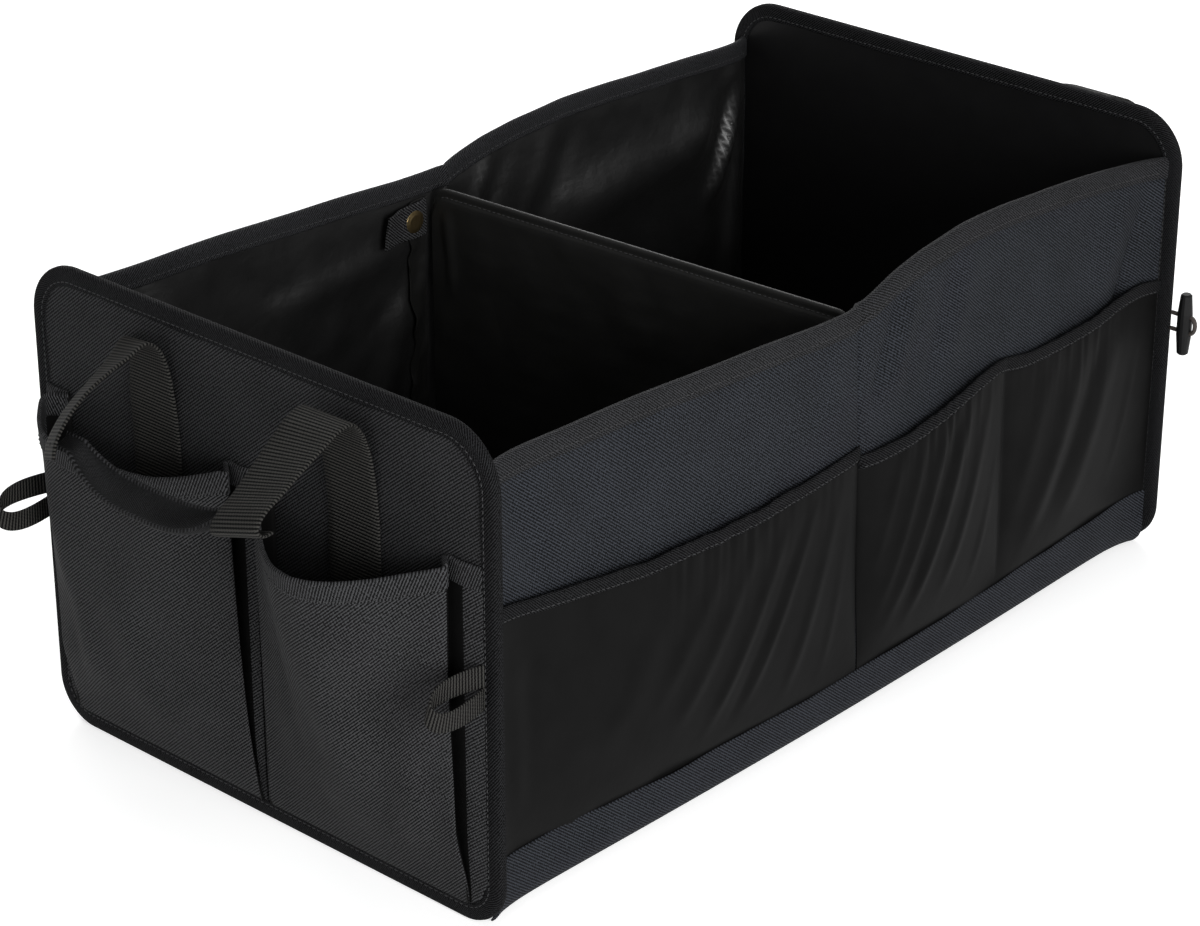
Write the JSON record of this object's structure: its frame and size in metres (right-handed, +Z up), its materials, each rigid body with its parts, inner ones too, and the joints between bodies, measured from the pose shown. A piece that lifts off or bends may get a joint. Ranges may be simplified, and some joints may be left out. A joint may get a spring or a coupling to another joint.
{
  "type": "car trunk organizer",
  "caption": "Collapsible soft car trunk organizer with stiff end panels, a divider, open compartments, pleated end pockets, gathered side pockets, webbing handles and toggle closures.",
  "frame": {"origin": "centre of the footprint on the floor", "axes": "+Z up; +X along the length, from the near end panel with the pleated pockets to the far end panel with the toggles; -Y towards the front long wall"},
  "size_m": [0.8104, 0.4096, 0.302],
  "materials": {
    "panel_twill": "matt diagonal twill",
    "wall_twill": "matt diagonal twill",
    "lining": "smooth coated cloth with a soft sheen",
    "nylon": "thin smooth cloth with a soft sheen",
    "tape": "woven tape",
    "webbing": "ribbed webbing",
    "board": "plain stiff board",
    "toggle": "satin moulded plastic",
    "cord": "braided elastic cord",
    "brass": "polished"
  },
  "bodies": {
    "organizer": {"near_panel_cover": "panel_twill", "near_panel_board": "board", "near_panel_lining": "lining", "near_panel_binding": "tape", "far_panel_cover": "panel_twill", "far_panel_board": "board", "far_panel_lining": "lining", "far_panel_binding": "tape", "front_wall_cover": "wall_twill", "front_wall_lining": "lining", "front_wall_top_hem": "wall_twill", "front_base_band": "wall_twill", "front_pocket_near": "nylon", "front_pocket_near_elastic": "tape", "front_pocket_far": "nylon", "front_pocket_far_elastic": "tape", "rear_wall_cover": "wall_twill", "rear_wall_lining": "lining", "rear_wall_top_hem": "wall_twill", "rear_base_band": "wall_twill", "rear_pocket_near": "nylon", "rear_pocket_near_elastic": "tape", "rear_pocket_far": "nylon", "rear_pocket_far_elastic": "tape", "base_cover": "panel_twill", "near_base_board": "board", "far_base_board": "board", "base_lining": "lining", "divider_board": "board", "divider_cover": "lining", "divider_piping": "lining", "front_divider_flange": "lining", "rear_divider_flange": "lining", "front_snap_tab": "panel_twill", "front_snap_cap": "brass", "front_snap_stud": "brass", "rear_snap_tab": "panel_twill", "rear_snap_cap": "brass", "rear_snap_stud": "brass", "near_pocket_left": "panel_twill", "near_pocket_right": "panel_twill", "near_handle_left_strap": "webbing", "near_handle_right_strap": "webbing", "near_handle_grip": "panel_twill", "far_handle_left_strap": "webbing", "far_handle_right_strap": "webbing", "far_handle_grip": "panel_twill", "near_loop_left": "webbing", "near_loop_right": "webbing"},
    "front_toggle": {"front_toggle": "toggle", "front_toggle_cord": "cord"},
    "rear_toggle": {"rear_toggle": "toggle", "rear_toggle_cord": "cord"}
  },
  "joints": [
    {"name": "front_toggle_swing", "type": "hinge", "parent": "organizer", "child": "front_toggle", "pos_m": [0.3137, -0.1858, 0.164], "axis": [0, 0, 1], "range_deg": [-70, 70]},
    {"name": "rear_toggle_swing", "type": "hinge", "parent": "organizer", "child": "rear_toggle", "pos_m": [0.3137, 0.1858, 0.164], "axis": [0, 0, 1], "range_deg": [-70, 70]}
  ]
}
